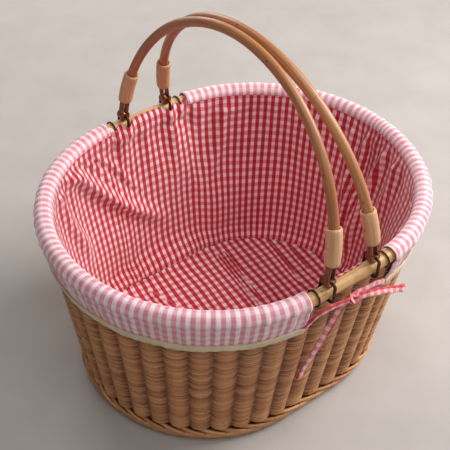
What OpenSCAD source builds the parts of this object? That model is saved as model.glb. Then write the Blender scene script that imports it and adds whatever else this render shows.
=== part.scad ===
// Oval wicker picnic basket with a checked cloth liner and two folding cane handles.
// Millimetres, +Z up. The foot stands on Z = 0, X runs along the basket, Y across it, along the handle hinges.

/* [Basket body] */
// Length of the rim, between the middles of its pole
rim_length = 400; // [350:1:460]
// Width of the rim, between the middles of its pole
rim_width = 328; // [290:1:350]
// Height of the rim pole's middle above the table
rim_height = 206; // [170:1:250]
// How much further in the wall's foot is than its rim, all round
wall_taper = 30; // [15:1:40]

/* [Weave] */
// Thickness of the woven wall
wall_thickness = 6; // [5.4:0.2:7]
// Diameter of the upright stakes inside the weave
stake_diameter = 4.8; // [3:0.2:5]
// Distance from stake to stake round the rim
stake_pitch = 26; // [22:1:32]
// How far the weave stands out over each stake
rib_rise = 0.9; // [0.4:0.1:1]
// Height of the plaited foot border
foot_height = 14; // [12:1:18]
// How far the foot border reaches out from the middle of the wall
foot_reach = 5.5; // [5:0.5:8]
// Height of the bound band of weave under the rim pole
waling_height = 16; // [14:1:20]
// Thickness of that band
waling_thickness = 7; // [6.4:0.2:7.4]
// Gap between the table and the woven base
base_lift = 3; // [2:0.5:4]
// Thickness of the woven base
base_thickness = 6; // [5:0.5:7]
// Diameter of the sticks across the base
base_stick_diameter = 3.6; // [2:0.2:4]
// Distance between the sticks across the base
base_stick_spacing = 40; // [30:1:45]

/* [Rim and wires] */
// Diameter of the rim pole
rim_diameter = 14; // [12:0.5:15]
// Diameter of the wire of the four hinge links
link_wire = 3.2; // [2.6:0.2:3.4]
// Diameter of the wires that tie the rim pole to the wall
tie_wire = 1.8; // [1.2:0.2:2]
// Distance of those wires from the middle of the side
tie_wire_place = 44; // [40:1:46]
// Bend radius of the hinge links
link_bend = 4; // [3:0.5:4]

/* [Liner] */
// Thickness of the liner's wall and floor
cloth_thickness = 1.2; // [0.8:0.1:2]
// Thickness of the padded roll where the liner goes over the rim
roll_thickness = 2.5; // [1.5:0.1:3]
// How far the cuff hangs below the middle of the rim pole
cuff_drop = 32; // [26:1:40]
// Thickness of the cuff below the roll
cuff_thickness = 1.5; // [1:0.1:2]
// Height of the plain band sewn along the cuff's edge
band_height = 8; // [5:1:12]
// Thickness of that band
band_thickness = 2.1; // [1.6:0.1:3]
// Half the width of the bare stretch of rim between the two cuffs
bare_half = 53; // [50:1:70]
// Width of the cloth ties
strip_width = 7; // [4:0.5:8]
// Thickness of the cloth ties
strip_thickness = 2.2; // [1.6:0.2:3]
// Diameter of the knot in the ties
knot_diameter = 11; // [10:0.5:12]

/* [Handles] */
// Diameter of the handle canes
cane_diameter = 10; // [8:0.5:11]
// Distance between the two hinge lines
hinge_spacing = 56; // [50:1:62]
// Height of the hinge lines above the top of the rim pole
hinge_rise = 6; // [5.8:0.1:9]
// Outer diameter of the cane collars
collar_diameter = 15.6; // [14:0.2:17]
// Length of the collars
collar_length = 36; // [34:1:40]
// Distance of each collar from the hinge line
collar_start = 18; // [16:0.5:20]
// Thickness of the flattened strap legs inside the collar
strap_thickness = 2.6; // [1.6:0.1:2.8]
// Width of the strap legs
strap_width = 6.4; // [5:0.2:8]
// Width of the strap's eye along the hinge line
eye_width = 9; // [7:0.2:9.4]
// Outer diameter of the strap's eye
eye_diameter = 10.8; // [9.6:0.2:11]
// Outer diameter of the metal bush in each eye
bush_diameter = 6.4; // [5.6:0.2:7]
// Diameter of the brass pins through the collars
pin_diameter = 2.4; // [1.6:0.1:3]

/* [Fits] */
// Radial clearance of each bush on its link
hinge_clearance = 0.05; // [0.02:0.01:0.1]
// Gap between the two handles where they lean together
handle_gap = 0.4; // [0.3:0.1:2]
// Gap between a hinge link and the rim pole below it
link_gap = 0.4; // [0.2:0.1:1]
// Gap between a tie wire and the rim pole
tie_wire_gap = 0.3; // [0.1:0.1:0.6]
// Gap on each side of a wire where it goes through the weave
wire_slot_gap = 0.4; // [0.2:0.1:1]
// Gap between the strap and the bore of its collar
strap_fill = 0.2; // [0.1:0.05:0.3]

/* [Hidden] */
$fn = 96;
link_side_gap = 0.6;
stake_link_gap = 2.2;
cuff_gap = 0.3;
// The skirt starts this far inside the roll's edge, this far below its middle, and swells this much at the wall's top.
skirt_step = 0.4;
skirt_drop = 5;
skirt_swell = 2.6;
// The straps end this far short of the collar's top, and the cane starts this far up inside the collar.
strap_short = 8;
cane_inset = 6;
rim_r = rim_diameter / 2;
link_r = link_wire / 2;
tie_r = tie_wire / 2;
cane_r = cane_diameter / 2;
roll_r = rim_r + roll_thickness;
// The plan is two half circles of radius end_r, joined by straight sides that reach end_x each way.
end_r = rim_width / 2;
end_x = (rim_length - rim_width) / 2;
wall_angle = atan(wall_taper / rim_height);
end_stakes = round(PI * end_r / stake_pitch);
side_stakes = round(2 * end_x / stake_pitch);
stake_foot = 5;
wall_top = rim_height - waling_height;
rib_r = wall_thickness / 2 + rib_rise;
liner_out = waling_thickness / 2;
liner_in = liner_out + cloth_thickness;
cuff_in = rib_r + cuff_gap;
cuff_edge = rim_height - cuff_drop;
band_edge = cuff_edge - band_height;
floor_level = base_lift + base_thickness;
bare_angle = asin(max(bare_half - end_x, 0) / end_r);
hinge_x = hinge_spacing / 2;
hinge_y = side_at(hinge_x);
hinge_z = rim_height + rim_r + hinge_rise;
link_half = rim_r + link_r + link_side_gap;
link_bottom = rim_height - rim_r - link_gap - link_r;
tie_wire_ring = rim_r + tie_wire_gap + tie_r;
stake_top = link_bottom - link_r - stake_link_gap;
rest_lean = asin((hinge_x - cane_r - handle_gap / 2) / hinge_y);
strap_in = cane_r + strap_fill - strap_thickness;
strap_top = collar_start + collar_length - strap_short;
cane_end = collar_start + cane_inset;
pin_place = collar_start + collar_length / 2;
// Reach of the cloth ties from their cuff, through the knot at the middle, to the free end, as they lie
// on a rim of this length, width and height with this bare half.
route_rim = [400, 328, 206];
route_bare_half = 53;
knot_point = [0, -171.3, 187];
tail_route = [
    [-53.5, -163, 170], [-51.8, -164.3, 173], [-49.5, -166, 178], [-46.5, -168, 183.5],
    [-42, -169.6, 188], [-35, -171, 190], [-24, -171.5, 190], [-12, -172.5, 189],
    [0, -172.8, 187], [12, -173.5, 185], [25, -174.5, 181.5], [38, -175, 177],
    [50, -175.5, 171.5], [60, -175.5, 167], [70, -175, 162]
];
drop_route = [
    [53.5, -163, 170], [49.5, -165, 174], [43.5, -166.8, 178.5], [36, -168.2, 182.5],
    [26, -169.5, 185.5], [16, -170, 187], [6, -169.8, 187.5], [-4, -169.5, 185],
    [-11.5, -169, 178], [-17, -168.5, 168.5], [-22, -168, 158], [-27.5, -167, 147],
    [-33, -166, 135.5], [-38.5, -164.5, 123.5], [-43.5, -162.5, 111], [-48, -160, 97]
];

// Where the middle of the wall is at height z, measured out from the rim's own oval.
function lean(z) = -wall_taper * (1 - z / rim_height);

// A strip of section from height a to height b that follows the wall, from one offset to another.
module wall_strip(a, b, from, to) {
    polygon([[lean(a) + from, a], [lean(b) + from, b], [lean(b) + to, b], [lean(a) + to, a]]);
}

// How far out the middle of the rim pole is, across the basket, at x along it.
function side_of(x, flat, r) = x <= flat ? r : sqrt(r ^ 2 - (x - flat) ^ 2);
function side_at(x) = side_of(x, end_x, end_r);

// Moves a point of a cloth tie from the rim that its route was laid on to this rim.
function laid(p) = let (
    x = p.x * bare_half / route_bare_half,
    was = side_of(abs(p.x), (route_rim.x - route_rim.y) / 2, route_rim.y / 2)
) [x, p.y + was - side_at(abs(x)), p.z + rim_height - route_rim.z];

// Carries a flat section all the way round the plan.
module oval_turn() {
    for (turn = [0, 180]) rotate([0, 0, turn]) {
        translate([end_x, 0, 0]) rotate([0, 0, -90]) rotate_extrude(angle = 180) translate([end_r, 0]) children();
        translate([-end_x, 0, 0]) rotate([90, 0, 90]) linear_extrude(2 * end_x) translate([end_r, 0]) children();
    }
}

// Carries a flat section round one end only, from one bare stretch of rim to the other.
module cuff_turn() {
    translate([end_x, 0, 0]) rotate([0, 0, bare_angle - 90]) rotate_extrude(angle = 180 - 2 * bare_angle)
        translate([end_r, 0]) children();
    if (bare_half < end_x) {
        translate([bare_half, 0, 0]) rotate([90, 0, 90]) linear_extrude(end_x - bare_half)
            translate([end_r, 0]) children();
        translate([end_x, 0, 0]) rotate([90, 0, -90]) linear_extrude(end_x - bare_half)
            translate([end_r, 0]) children();
    }
}

// A solid oval plate whose edge follows the wall, set in from the wall's middle.
module oval_plate(a, b, inset) {
    low = end_r + lean(a) - inset;
    high = end_r + lean(b) - inset;
    for (turn = [0, 180]) rotate([0, 0, turn]) translate([end_x, 0, 0]) rotate([0, 0, -90])
        rotate_extrude(angle = 180) polygon([[0, a], [low, a], [high, b], [0, b]]);
    translate([-end_x, 0, 0]) rotate([90, 0, 90]) linear_extrude(2 * end_x)
        polygon([[-low, a], [low, a], [high, b], [-high, b]]);
}

// Stands its children in the middle of the wall at every stake, leaning with the wall.
module at_stakes() {
    for (turn = [0, 180]) rotate([0, 0, turn]) {
        for (i = [0:end_stakes - 1]) translate([end_x, 0, 0]) rotate([0, 0, 180 * (i + 0.5) / end_stakes - 90])
            translate([end_r - wall_taper, 0, 0]) rotate([0, wall_angle, 0]) children();
        for (i = [0:1:side_stakes - 1]) translate([(2 * (i + 0.5) / side_stakes - 1) * end_x, 0, 0])
            rotate([0, 0, 90]) translate([end_r - wall_taper, 0, 0]) rotate([0, wall_angle, 0]) children();
    }
}

module stake_rods() {
    at_stakes() translate([0, 0, stake_foot / cos(wall_angle)])
        cylinder(d = stake_diameter, h = (stake_top - stake_foot) / cos(wall_angle));
}

// The slots through the weave and the liner for the hinge links and the tie wires.
module wire_slots() {
    for (x = [-hinge_x, hinge_x], y = [-hinge_y, hinge_y])
        translate([x - link_r - wire_slot_gap, y - 2 * rim_r, link_bottom - link_r - wire_slot_gap])
            cube([2 * (link_r + wire_slot_gap), 4 * rim_r, rim_r]);
    at_tie_wires() translate([-2 * rim_r, -tie_r - wire_slot_gap, -tie_wire_ring - tie_r - wire_slot_gap])
        cube([4 * rim_r, 2 * (tie_r + wire_slot_gap), rim_r]);
}

// Puts its children at the rim pole's middle, facing out, at the four places where a wire ties it down.
module at_tie_wires() {
    for (turn = [0, 180], way = [-1, 1]) rotate([0, 0, turn])
        translate([way * tie_wire_place, side_at(tie_wire_place), rim_height])
            rotate([0, 0, 90 - way * asin(max(tie_wire_place - end_x, 0) / end_r)]) children();
}

module base_weave() {
    color("BurlyWood") difference() {
        oval_plate(base_lift, floor_level, wall_thickness / 2);
        base_stick_rods();
    }
}

module base_stick_rods() {
    for (i = [-3:3]) translate([i * base_stick_spacing, 0, base_lift + base_thickness / 2])
        rotate([90, 0, 0]) cylinder(d = base_stick_diameter, h = rim_width, center = true);
}

module base_sticks() {
    color("Peru") intersection() {
        oval_plate(base_lift, floor_level, wall_thickness / 2);
        base_stick_rods();
    }
}

module stakes() {
    color("Peru") stake_rods();
}

module foot_border() {
    color("Tan") difference() {
        oval_turn() polygon([
            [lean(0) - wall_thickness / 2, 0], [lean(0) + foot_reach - 2, 0], [lean(2) + foot_reach - 0.3, 2],
            [lean(foot_height / 2) + foot_reach, foot_height / 2],
            [lean(foot_height - 2) + foot_reach - 0.8, foot_height - 2],
            [lean(foot_height) + wall_thickness / 2, foot_height],
            [lean(foot_height) - wall_thickness / 2, foot_height]
        ]);
        stake_rods();
    }
}

module wall_weave() {
    color("BurlyWood") difference() {
        union() {
            oval_turn() wall_strip(foot_height, wall_top, -wall_thickness / 2, wall_thickness / 2);
            intersection() {
                oval_turn() wall_strip(foot_height, wall_top, 0, 2 * rib_r);
                at_stakes() cylinder(r = rib_r, h = rim_height);
            }
        }
        stake_rods();
    }
}

module rim_waling() {
    color("Tan") difference() {
        oval_turn() difference() {
            wall_strip(wall_top, rim_height, -waling_thickness / 2, waling_thickness / 2);
            translate([0, rim_height]) circle(r = rim_r);
        }
        stake_rods();
        wire_slots();
    }
}

module rim_pole() {
    color("Wheat") oval_turn() translate([0, rim_height]) circle(r = rim_r);
}

module rim_tie_wires() {
    color("DimGray") at_tie_wires() rotate([90, 0, 0]) rotate_extrude() translate([tie_wire_ring, 0]) circle(r = tie_r);
}

// A closed wire link round the rim pole, with a straight bar on top for the handle to turn on.
module link_at(side, end) {
    high = hinge_z - link_bend;
    low = link_bottom + link_bend;
    flat = link_half - link_bend;
    color("DimGray") translate([side * hinge_x, end * hinge_y, 0]) {
        for (z = [hinge_z, link_bottom]) translate([0, 0, z]) rotate([90, 0, 0])
            cylinder(r = link_r, h = 2 * flat, center = true);
        for (way = [-1, 1]) translate([0, way * link_half, low]) cylinder(r = link_r, h = high - low);
        for (corner = [[flat, high, 0], [-flat, high, 90], [-flat, low, 180], [flat, low, 270]])
            translate([0, corner[0], corner[1]]) rotate([90, 0, 90]) rotate([0, 0, corner[2]])
                rotate_extrude(angle = 90) translate([link_bend, 0]) circle(r = link_r);
    }
}

module link_left_front() link_at(-1, -1);
module link_left_back() link_at(-1, 1);
module link_right_front() link_at(1, -1);
module link_right_back() link_at(1, 1);

module liner_floor() {
    color("LightCoral") oval_plate(floor_level, floor_level + cloth_thickness, liner_in);
}

module liner_wall() {
    color("LightCoral") difference() {
        oval_turn() difference() {
            wall_strip(floor_level, rim_height, -liner_in, -liner_out);
            translate([0, rim_height]) circle(r = roll_r);
        }
        wire_slots();
    }
}

// The liner's cuff: a padded roll over the rim pole and a skirt down the outside.
module cuff() {
    color("LightPink") {
        cuff_turn() difference() {
            translate([0, rim_height]) circle(r = roll_r);
            translate([0, rim_height]) circle(r = rim_r);
            wall_strip(cuff_edge, rim_height, -liner_out, cuff_in);
        }
        cuff_turn() difference() {
            polygon([
                [cuff_in, rim_height], [roll_r - skirt_step, rim_height], [roll_r - skirt_step, rim_height - skirt_drop],
                [lean(wall_top) + cuff_in + skirt_swell, wall_top], [lean(cuff_edge) + cuff_in + cuff_thickness, cuff_edge],
                [lean(cuff_edge) + cuff_in, cuff_edge]
            ]);
            translate([0, rim_height]) circle(r = rim_r);
        }
    }
}

module band() {
    color("Cornsilk") cuff_turn() wall_strip(band_edge, cuff_edge, cuff_in, cuff_in + band_thickness);
}

module cuff_left() rotate([0, 0, 180]) cuff();
module cuff_right() cuff();
module band_left() rotate([0, 0, 180]) band();
module band_right() band();

function unit(v) = v / norm(v);

// Sweeps a flat cloth strip along a route, with its face turned to the front.
module strip(points) {
    route = [for (p = points) laid(p)];
    last = len(route) - 1;
    sides = 8;
    rings = [for (i = [0:last])
        let (t = unit(route[min(i + 1, last)] - route[max(i - 1, 0)]), w = unit(cross(t, [0, -1, 0])), n = cross(w, t))
        for (k = [0:sides - 1]) route[i]
            + w * (strip_width / 2 * cos(360 / sides * (k + 0.5)) / cos(180 / sides))
            + n * (strip_thickness / 2 * sin(360 / sides * (k + 0.5)) / cos(180 / sides))];
    sleeve = [for (i = [0:last - 1], k = [0:sides - 1]) let (a = i * sides + k, b = i * sides + (k + 1) % sides)
        each [[a, b, b + sides], [a, b + sides, a + sides]]];
    polyhedron(rings, concat(sleeve, [[for (k = [sides - 1:-1:0]) k]], [[for (k = [0:sides - 1]) last * sides + k]]));
}

module knot() {
    color("IndianRed") translate(laid(knot_point)) sphere(d = knot_diameter);
}

module knot_front() knot();
module knot_back() rotate([0, 0, 180]) knot();
module tail_front() color("IndianRed") strip(tail_route);
module drop_front() color("IndianRed") strip(drop_route);
module tail_back() color("IndianRed") rotate([0, 0, 180]) strip(tail_route);
module drop_back() color("IndianRed") rotate([0, 0, 180]) strip(drop_route);

// A handle's own place: standing on its hinge line, leaning in on the other handle.
module at_handle(side) {
    translate([side * hinge_x, 0, hinge_z]) rotate([0, -side * rest_lean, 0]) children();
}

// A length of a handle's arch, measured along it from the hinge line at one end, with a flat section to follow.
module arch_part(end, from, to) {
    start = from / hinge_y * 180 / PI;
    turn = (to - from) / hinge_y * 180 / PI;
    rotate([90, 0, 90]) rotate([0, 0, end > 0 ? start : 180 - start - turn])
        rotate_extrude(angle = turn) translate([hinge_y, 0]) children();
}

module pin_rod(end) {
    place = end * pin_place / hinge_y * 180 / PI;
    rotate([place, 0, 0]) translate([0, end * hinge_y, 0]) rotate([0, 90, 0])
        cylinder(d = pin_diameter, h = collar_diameter, center = true);
}

module handle_cane(side) {
    color("BurlyWood") at_handle(side) difference() {
        arch_part(1, cane_end, PI * hinge_y - cane_end) circle(r = cane_r);
        for (end = [-1, 1]) {
            for (way = [-1, 1]) arch_part(end, cane_end - 2, strap_top)
                translate([0, way * (strap_in + cane_r)]) square(2 * cane_r, center = true);
            pin_rod(end);
        }
    }
}

module collar(side, end) {
    color("Wheat") at_handle(side) difference() {
        arch_part(end, collar_start, collar_start + collar_length) circle(d = collar_diameter);
        arch_part(end, collar_start - 1, collar_start + collar_length + 1) circle(r = cane_r);
        arch_part(end, collar_start - 1, strap_top) circle(r = cane_r + strap_fill);
        pin_rod(end);
    }
}

// A strap of split cane bent round the metal bush, with both its legs up inside the collar.
module eye(side, end) {
    color("SaddleBrown") at_handle(side) difference() {
        union() {
            translate([0, end * hinge_y, 0]) rotate([90, 0, 0]) cylinder(d = eye_diameter, h = eye_width, center = true);
            arch_part(end, 0, strap_top - strap_fill) intersection() {
                circle(r = cane_r + strap_fill);
                square([strap_width, 4 * cane_r], center = true);
            }
        }
        translate([0, end * hinge_y, 0]) rotate([90, 0, 0]) cylinder(d = bush_diameter, h = 2 * eye_width, center = true);
        arch_part(end, 0, strap_top + 1) square([2 * eye_width, 2 * strap_in], center = true);
        pin_rod(end);
    }
}

module bush(side, end) {
    color("Gold") at_handle(side) translate([0, end * hinge_y, 0]) rotate([90, 0, 0]) difference() {
        cylinder(d = bush_diameter, h = eye_width, center = true);
        cylinder(r = link_r + hinge_clearance, h = 2 * eye_width, center = true);
    }
}

module pins(side) {
    color("Gold") at_handle(side) for (end = [-1, 1]) pin_rod(end);
}

module cane_left() handle_cane(-1);
module collar_left_front() collar(-1, -1);
module collar_left_back() collar(-1, 1);
module eye_left_front() eye(-1, -1);
module eye_left_back() eye(-1, 1);
module bush_left_front() bush(-1, -1);
module bush_left_back() bush(-1, 1);
module pins_left() pins(-1);
module cane_right() handle_cane(1);
module collar_right_front() collar(1, -1);
module collar_right_back() collar(1, 1);
module eye_right_front() eye(1, -1);
module eye_right_back() eye(1, 1);
module bush_right_front() bush(1, -1);
module bush_right_back() bush(1, 1);
module pins_right() pins(1);

base_weave();
base_sticks();
stakes();
foot_border();
wall_weave();
rim_waling();
rim_pole();
rim_tie_wires();
link_left_front();
link_left_back();
link_right_front();
link_right_back();
liner_floor();
liner_wall();
cuff_left();
cuff_right();
band_left();
band_right();
knot_front();
knot_back();
tail_front();
drop_front();
tail_back();
drop_back();
cane_left();
collar_left_front();
collar_left_back();
eye_left_front();
eye_left_back();
bush_left_front();
bush_left_back();
pins_left();
cane_right();
collar_right_front();
collar_right_back();
eye_right_front();
eye_right_back();
bush_right_front();
bush_right_back();
pins_right();
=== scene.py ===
import math
import random

import bpy
import numpy as np
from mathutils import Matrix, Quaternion, Vector


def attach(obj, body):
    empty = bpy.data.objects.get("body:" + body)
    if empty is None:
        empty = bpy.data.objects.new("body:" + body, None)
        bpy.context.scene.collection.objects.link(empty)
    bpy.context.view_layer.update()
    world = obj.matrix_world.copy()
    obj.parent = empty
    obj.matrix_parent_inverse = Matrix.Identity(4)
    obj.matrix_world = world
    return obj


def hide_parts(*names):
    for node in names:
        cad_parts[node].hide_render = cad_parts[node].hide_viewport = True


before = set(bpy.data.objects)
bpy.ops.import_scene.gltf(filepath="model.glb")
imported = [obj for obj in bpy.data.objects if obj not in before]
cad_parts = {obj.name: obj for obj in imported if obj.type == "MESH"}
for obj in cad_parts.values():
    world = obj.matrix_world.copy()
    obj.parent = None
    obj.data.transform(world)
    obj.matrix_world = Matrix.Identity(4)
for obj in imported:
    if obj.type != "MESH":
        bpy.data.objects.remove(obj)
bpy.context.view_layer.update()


# Studio. A pale table top and four soft lamps: a large one high on the right, where a window would be,
# a weaker one overhead, one behind the basket, and a faint warm one on the near side, so that the near
# wall stays in shade.

def dye(red, green, blue):
    """A colour as mixed on a swatch, 0 to 255, made linear for the shaders."""
    parts = [c / 255 for c in (red, green, blue)]
    return tuple(c / 12.92 if c < 0.04045 else ((c + 0.055) / 1.055) ** 2.4 for c in parts) + (1.0,)


def finish(name, roughness, **constants):
    """A new material with its shader's plain settings, and a function that adds nodes to it."""
    made = bpy.data.materials.new(name)
    made.use_nodes = True
    tree = made.node_tree
    shader = tree.nodes["Principled BSDF"]
    shader.inputs["Roughness"].default_value = roughness
    for key, value in constants.items():
        shader.inputs[key.replace("_", " ")].default_value = value

    def add(kind, inputs, output=0, **choices):
        node = tree.nodes.new("ShaderNode" + kind)
        for key, value in choices.items():
            setattr(node, key, value)
        for key, value in inputs.items():
            if isinstance(value, bpy.types.NodeSocket):
                tree.links.new(value, node.inputs[key])
            else:
                node.inputs[key].default_value = value
        return node.outputs[output]

    def wire(value, name):
        tree.links.new(value, shader.inputs[name])

    return made, add, wire


def ramp(add, factor, *stops):
    """A blend of colours over a factor, from (place, colour) stops."""
    out = add("ValToRGB", {"Fac": factor})
    band = out.node.color_ramp
    while len(band.elements) < len(stops):
        band.elements.new(0.5)
    for element, (place, colour) in zip(band.elements, stops):
        element.position = place
        element.color = colour
    return out


def soft_light(name, place, width, power, colour):
    """A square soft lamp that faces the basket."""
    lamp = bpy.data.lights.new(name, "AREA")
    lamp.size = width
    lamp.energy = power
    lamp.color = colour
    holder = bpy.data.objects.new(name, lamp)
    holder.location = place
    holder.rotation_mode = "QUATERNION"
    holder.rotation_quaternion = (Vector((0, 0, 0.12)) - Vector(place)).to_track_quat("-Z", "Y")
    bpy.context.scene.collection.objects.link(holder)


soft_light("window_light", (1.26, -0.44, 1.20), 1.0, 36, (1.0, 0.97, 0.95))
soft_light("over_light", (-0.20, -0.65, 1.50), 1.1, 8, (0.97, 0.98, 1.0))
soft_light("far_light", (0.5, 1.6, 0.9), 1.0, 13, (1.0, 0.95, 0.90))
soft_light("near_fill", (-1.3, -1.5, 1.1), 1.6, 1.5, (1.0, 0.84, 0.72))
surround = bpy.data.worlds.new("studio")
surround.use_nodes = True
surround.node_tree.nodes["Background"].inputs["Color"].default_value = dye(232, 224, 218)
surround.node_tree.nodes["Background"].inputs["Strength"].default_value = 0.24
bpy.context.scene.world = surround
bpy.context.scene.view_settings.view_transform = "Standard"

table_half = 14.0
table_mesh = bpy.data.meshes.new("table_top")
table_mesh.from_pydata(
    [(-table_half, -table_half, 0), (table_half, -table_half, 0),
     (table_half, table_half, 0), (-table_half, table_half, 0)], [], [(0, 1, 2, 3)])
table_top = bpy.data.objects.new("table_top", table_mesh)
bpy.context.scene.collection.objects.link(table_top)
table_finish, add, wire = finish("table_finish", 0.7)
speckle = add("TexNoise", {"Vector": add("TexCoord", {}, "Object"), "Scale": 14.0, "Detail": 4.0})
wire(ramp(add, speckle, (0.3, dye(176, 171, 167)), (0.7, dye(184, 179, 175))), "Base Color")
table_mesh.materials.append(table_finish)


# Camera. It looks down into the basket from over its near left side, with a short telephoto lens,
# and leans a little to one side.

look_at = Vector((0, 0, 0.1))
camera_turn, camera_rise, camera_lean = (math.radians(a) for a in (-40.79, 42.67, 2.81))
camera_distance = 1.0487
camera_back = Vector((math.sin(camera_turn) * math.cos(camera_rise),
                      -math.cos(camera_turn) * math.cos(camera_rise), math.sin(camera_rise)))
lens = bpy.data.cameras.new("camera")
lens.lens = 76.7
lens.sensor_width = 36
lens.shift_x = -0.0194
lens.shift_y = 0.0911
camera = bpy.data.objects.new("camera", lens)
camera.location = look_at + camera_back * camera_distance
camera.rotation_mode = "QUATERNION"
camera.rotation_quaternion = (-camera_back).to_track_quat("-Z", "Y") @ Quaternion((0, 0, 1), camera_lean)
bpy.context.scene.collection.objects.link(camera)
bpy.context.scene.camera = camera


# Stakes and wall weave. Forty-six round willow stakes lean outward from the foot, and pairs of thin
# weavers are twined round them: one passes in front of each stake and one behind, then they swap.

end_r = 0.164
end_x = 0.036
rim_z = 0.206
wall_taper = 0.030
bend_run = math.pi * end_r
rim_run = 2 * bend_run + 4 * end_x


def plan(run):
    """The middle of the rim and the way out of the basket, at a distance round it from the near side."""
    run = np.asarray(run, float) % rim_run
    knots = [0, end_x, end_x + bend_run, 3 * end_x + bend_run, 3 * end_x + 2 * bend_run, rim_run]
    turn = np.interp(run, knots, np.array([-90, -90, 90, 90, 270, 270]) * math.pi / 180)
    centre = np.interp(run, knots, [0, end_x, end_x, -end_x, -end_x, 0])
    out = np.stack([np.cos(turn), np.sin(turn), np.zeros_like(turn)], -1)
    return out * end_r + np.stack([centre, 0 * turn, 0 * turn], -1), out


def place(run, outset, z, leaning=True):
    """A point by its distance round the rim, how far out it is from the wall's middle, and its height."""
    middle, out = plan(run)
    lean = -wall_taper * (1 - z / rim_z) if leaning else 0 * z
    height = np.stack([0 * run, 0 * run, z + 0 * run], -1)
    return middle + out * np.expand_dims(lean + outset, -1) + height


def strand(points, half_width, half_depth=None, across=(0, 0, 1), closed=False, sides=8, tone=0.5,
           square=1.0):
    """A round or flat strand along the points. across is the way its width lies. Its grain is the
    distance along it and the place in it; its tone tells it from its neighbours."""
    points = np.asarray(points, float)
    count = len(points)
    if closed:
        along = np.roll(points, -1, 0) - np.roll(points, 1, 0)
        steps = np.linalg.norm(points - np.roll(points, 1, 0), axis=1)
        steps[0] = 0
    else:
        along = np.gradient(points, axis=0)
        steps = np.linalg.norm(np.diff(points, axis=0, prepend=points[:1]), axis=1)
    along /= np.linalg.norm(along, axis=1)[:, None]
    wide = np.broadcast_to(np.asarray(across, float), points.shape)
    wide = wide - along * (wide * along).sum(1)[:, None]
    wide /= np.linalg.norm(wide, axis=1)[:, None]
    deep = np.cross(along, wide)
    turn = np.arange(sides) * 2 * math.pi / sides
    c = np.sign(np.cos(turn)) * np.abs(np.cos(turn)) ** square
    s = np.sign(np.sin(turn)) * np.abs(np.sin(turn)) ** square
    w = np.broadcast_to(half_width, count)
    d = w if half_depth is None else np.broadcast_to(half_depth, count)
    in_width = w[:, None] * c
    in_depth = d[:, None] * s
    rings = points[:, None] + wide[:, None] * in_width[..., None] + deep[:, None] * in_depth[..., None]
    run = np.broadcast_to(np.cumsum(steps)[:, None], in_width.shape)
    last = count if closed else count - 1
    i = np.arange(last)[:, None]
    j = np.arange(sides)[None]
    i2, j2 = (i + 1) % count, (j + 1) % sides
    quads = np.stack([i * sides + j, i * sides + j2, i2 * sides + j2, i2 * sides + j], -1).reshape(-1, 4)
    caps = [] if closed else [list(range(sides))[::-1], list(range((count - 1) * sides, count * sides))]
    grain = np.stack([run, in_width, in_depth], -1).reshape(-1, 3)
    return rings.reshape(-1, 3), quads, caps, grain, tone


def bundle(name, strands):
    """One mesh piece made of many strands."""
    points, faces, grains, tones, base = [], [], [], [], 0
    for rings, quads, caps, grain, tone in strands:
        points.append(rings)
        faces += (quads + base).tolist() + [[v + base for v in cap] for cap in caps]
        grains.append(grain)
        tones.append(np.full(len(rings), tone))
        base += len(rings)
    mesh = bpy.data.meshes.new(name)
    mesh.from_pydata(np.concatenate(points).tolist(), [], faces)
    mesh.attributes.new("grain", "FLOAT_VECTOR", "POINT").data.foreach_set(
        "vector", np.concatenate(grains).astype(np.float32).ravel())
    mesh.attributes.new("tone", "FLOAT", "POINT").data.foreach_set(
        "value", np.concatenate(tones).astype(np.float32))
    mesh.shade_smooth()
    piece = bpy.data.objects.new(name, mesh)
    bpy.context.scene.collection.objects.link(piece)
    return piece


def fit(piece, body, slot, made, *nodes):
    """Gives a finished piece its material and its body, and hides the CAD nodes that it stands for. The
    slot is not used.
    """
    piece.data.materials.clear()
    piece.data.materials.append(made)
    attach(piece, body)
    if nodes:
        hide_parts(*nodes)
    return piece


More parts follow.
